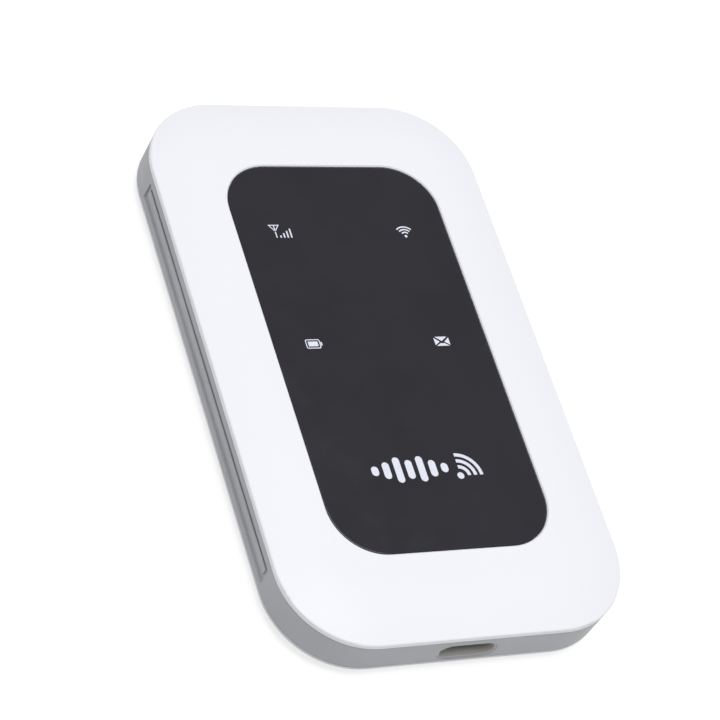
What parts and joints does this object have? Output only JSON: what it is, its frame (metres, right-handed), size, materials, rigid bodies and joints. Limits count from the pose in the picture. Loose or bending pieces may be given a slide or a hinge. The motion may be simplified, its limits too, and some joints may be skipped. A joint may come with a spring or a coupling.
{
  "type": "mobile hotspot",
  "caption": "Pocket mobile hotspot: white frame round a black icon window, grey ribbed sides, clip-on back cover over a removable battery.",
  "frame": {"origin": "middle of the flat back face, on which the hotspot lies", "axes": "+X across the width, +Y along the length towards the power button, +Z out of the front face"},
  "size_m": [0.06, 0.1026, 0.0105],
  "materials": {
    "white_gloss": "satin-gloss white",
    "white_back": "fine satin white",
    "grey_shell": "fine matte grey",
    "black_window": "gloss black",
    "adhesive": "matte black film",
    "screw_steel": "zinc plated",
    "board": "green solder mask",
    "tin": "tinned",
    "chip_black": "moulded black",
    "ferrite": "dark ferrite",
    "ceramic_parts": "tan ceramic",
    "crystal_can": "bright lid",
    "foam": "black foam",
    "diffuser": "milky",
    "port_trim": "fine satin warm grey",
    "usb_steel": "nickel plated",
    "black_insulator": "moulded black",
    "gold": "gold plated",
    "switch_pusher": "cream",
    "cell_wrap": "printed foil wrap",
    "card": "white card",
    "carrier": "black",
    "copper": "copper alloy",
    "label": "blank white",
    "led": "white base, clear lens"
  },
  "bodies": {
    "case": {"baseband_chip": "chip_black", "baseband_shield": "tin", "battery_connector": "black_insulator", "battery_led": "led", "battery_springs": "gold", "case_screws": "screw_steel", "charger_chip": "chip_black", "crystal": "crystal_can", "front_cover": "white_gloss", "info_label": "label", "light_diffusers": "diffuser", "light_wells": "foam", "main_antenna": "copper", "main_antenna_carrier": "carrier", "main_board": "board", "memory_chip": "chip_black", "message_led": "led", "panel_adhesive": "adhesive", "port_liner": "port_trim", "power_amplifier": "chip_black", "power_inductors": "ferrite", "power_switch_body": "black_insulator", "radio_chip": "chip_black", "radio_shield": "tin", "rear_housing": "grey_shell", "reset_switch_body": "black_insulator", "second_antenna": "copper", "second_antenna_carrier": "carrier", "signal_led": "led", "sim_socket_base": "black_insulator", "sim_socket_cover": "tin", "sim_springs": "gold", "small_board_parts": "ceramic_parts", "usb_contacts": "gold", "usb_riser": "black_insulator", "usb_shell": "usb_steel", "usb_tongue": "black_insulator", "wifi_antenna": "copper", "wifi_antenna_carrier": "carrier", "wifi_led": "led", "window_panel": "black_window"},
    "cover": {"back_cover": "white_back"},
    "battery": {"battery_cell": "cell_wrap", "battery_contact_cap": "black_insulator", "battery_tail_cap": "black_insulator", "battery_pads": "gold"},
    "sim": {"sim_card": "card", "sim_pads": "gold"},
    "button": {"power_button": "grey_shell"},
    "power_plunger": {"power_switch_plunger": "switch_pusher"},
    "reset_plunger": {"reset_switch_plunger": "switch_pusher"}
  },
  "joints": [
    {"name": "case_lift", "type": "slide", "parent": "cover", "child": "case", "axis": [0, 0, 1], "range_m": [0, 0.03]},
    {"name": "battery_lift", "type": "slide", "parent": "cover", "child": "battery", "axis": [0, 0, 1], "range_m": [0, 0.015]},
    {"name": "sim_slide", "type": "slide", "parent": "case", "child": "sim", "axis": [0, -1, 0], "range_m": [0, 0.0115]},
    {"name": "power_press", "type": "slide", "parent": "case", "child": "button", "axis": [0, -1, 0], "range_m": [0, 0.0003], "stiffness_N_per_m": 300},
    {"name": "power_plunge", "type": "slide", "parent": "case", "child": "power_plunger", "axis": [0, -1, 0], "range_m": [0, 0.0003]},
    {"name": "reset_press", "type": "slide", "parent": "case", "child": "reset_plunger", "axis": [0, 0, 1], "range_m": [0, 0.0003], "stiffness_N_per_m": 300}
  ],
  "couplings": [
    {"joint": "battery_lift", "follows": "case_lift", "ratio": 0.5},
    {"joint": "power_plunge", "follows": "power_press", "ratio": 1}
  ]
}
